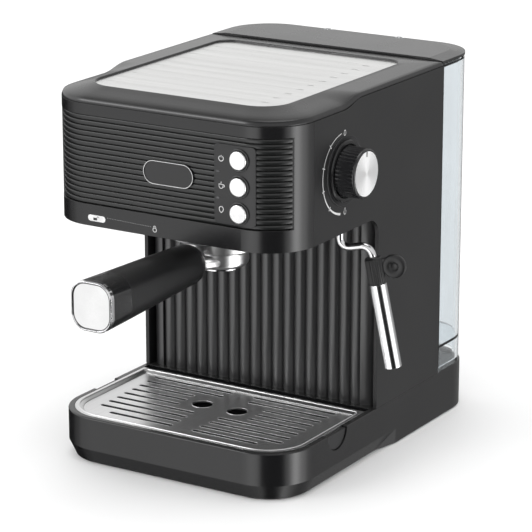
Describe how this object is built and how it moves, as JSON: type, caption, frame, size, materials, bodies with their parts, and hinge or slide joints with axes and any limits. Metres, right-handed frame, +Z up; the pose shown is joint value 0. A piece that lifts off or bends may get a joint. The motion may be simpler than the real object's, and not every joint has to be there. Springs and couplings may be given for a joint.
{
  "type": "espresso machine",
  "caption": "Pump espresso machine with bayonet filter holder, swivelling steam wand, lift-out drip tray and removable rear water tank.",
  "frame": {"origin": "centre of the casing's footprint, on the surface the machine stands on (the casing's lower rim is 1 mm above it, on rubber feet)", "axes": "+X to the machine's right as seen from its front, +Y to its back, +Z up"},
  "size_m": [0.2361, 0.378, 0.282],
  "materials": {
    "black_plastic": "satin moulded",
    "dark_plastic": "fine spark-eroded texture",
    "side_sheet": "matte powder coat",
    "fascia_plastic": "satin ribbed",
    "control_panel": "gloss",
    "indicator_lens": "translucent",
    "badge": "blank with a pale border",
    "circuit_board": "solder resist",
    "chrome": "polished",
    "button_metal": "satin domed",
    "cast_metal": "as cast",
    "steel": "plain",
    "polished_steel": "polished tube",
    "grid_steel": "brushed, pressed",
    "spun_metal": "spun",
    "satin_metal": "satin",
    "warmer_plate": "pearl lacquer",
    "brass": "turned",
    "rubber": "matte",
    "hose": "silicone",
    "handle_plastic": "soft matte",
    "gloss_band": "piano gloss",
    "clear_plastic": "clear moulded"
  },
  "bodies": {
    "housing": {"base_tub": "black_plastic", "base_plate": "dark_plastic", "rubber_feet": "rubber", "cord_gland": "dark_plastic", "column_front": "black_plastic", "side_panel_left": "side_sheet", "side_panel_right": "side_sheet", "head_shell": "black_plastic", "ribbed_fascia": "fascia_plastic", "control_panel": "control_panel", "button_bezels": "chrome", "indicator_lenses": "indicator_lens", "badge_plate": "badge", "push_switches": "dark_plastic", "control_board": "circuit_board", "head_underside": "dark_plastic", "group_head": "cast_metal", "group_gasket": "rubber", "shower_screen": "steel", "boiler_bracket": "steel", "boiler": "cast_metal", "boiler_lid": "cast_metal", "thermostats": "steel", "screws": "steel", "pump": "dark_plastic", "pump_mounts": "rubber", "rear_bulkhead": "dark_plastic", "suction_hose": "hose", "pressure_hose": "hose", "steam_valve": "brass", "steam_hose": "hose", "wand_socket": "dark_plastic", "knob_ring": "dark_plastic", "top_frame": "black_plastic", "cup_warmer_plate": "warmer_plate", "tank_socket": "dark_plastic"},
    "portafilter": {"portafilter_bowl": "chrome", "spout_plate": "chrome", "filter_basket": "steel", "handle_grip": "handle_plastic", "handle_band": "gloss_band", "handle_end_ring": "chrome", "handle_end_insert": "satin_metal", "handle_bolt": "steel"},
    "steam_knob": {"knob_shell": "black_plastic", "knob_disc": "spun_metal", "valve_spindle": "brass"},
    "steam_wand": {"wand_pipe": "chrome", "wand_grip": "rubber", "wand_collar": "dark_plastic", "wand_tip": "dark_plastic"},
    "frothing_sleeve": {"frothing_sleeve": "polished_steel"},
    "drip_tray": {"drip_tray": "dark_plastic"},
    "drip_grid": {"drip_grid": "grid_steel"},
    "water_tank": {"water_tank": "clear_plastic", "tank_valve": "dark_plastic"},
    "tank_lid": {"tank_lid": "black_plastic"},
    "button_power": {"button_power": "button_metal"},
    "button_coffee": {"button_coffee": "button_metal"},
    "button_steam": {"button_steam": "button_metal"}
  },
  "joints": [
    {"name": "portafilter_lock", "type": "hinge", "parent": "housing", "child": "portafilter", "pos_m": [0, -0.069, 0.17], "axis": [0, 0, 1], "range_deg": [-40, 0]},
    {"name": "steam_knob_turn", "type": "hinge", "parent": "housing", "child": "steam_knob", "pos_m": [0.1105, -0.0655, 0.2285], "axis": [1, 0, 0], "range_deg": [0, 180]},
    {"name": "steam_wand_swivel", "type": "hinge", "parent": "housing", "child": "steam_wand", "pos_m": [0.0865, -0.044, 0.18], "axis": [0, 0, 1], "range_deg": [-100, 10]},
    {"name": "frothing_sleeve_pull", "type": "slide", "parent": "steam_wand", "child": "frothing_sleeve", "axis": [0.1839, 0.0562, -0.9813], "range_m": [0, 0.06]},
    {"name": "drip_tray_lift", "type": "slide", "parent": "housing", "child": "drip_tray", "axis": [0, 0, 1], "range_m": [0, 0.06]},
    {"name": "drip_grid_lift", "type": "slide", "parent": "drip_tray", "child": "drip_grid", "axis": [0, 0, 1], "range_m": [0, 0.025]},
    {"name": "water_tank_lift", "type": "slide", "parent": "housing", "child": "water_tank", "axis": [0, 0, 1], "range_m": [0, 0.1]},
    {"name": "tank_lid_hinge", "type": "hinge", "parent": "water_tank", "child": "tank_lid", "pos_m": [0, 0.1386, 0.2799], "axis": [-1, 0, 0], "range_deg": [0, 95]},
    {"name": "button_power_press", "type": "slide", "parent": "housing", "child": "button_power", "axis": [0, 1, 0], "range_m": [0, 0.002], "stiffness_N_per_m": 400, "springref_m": -0.0005},
    {"name": "button_coffee_press", "type": "slide", "parent": "housing", "child": "button_coffee", "axis": [0, 1, 0], "range_m": [0, 0.002], "stiffness_N_per_m": 400, "springref_m": -0.0005},
    {"name": "button_steam_press", "type": "slide", "parent": "housing", "child": "button_steam", "axis": [0, 1, 0], "range_m": [0, 0.002], "stiffness_N_per_m": 400, "springref_m": -0.0005}
  ]
}
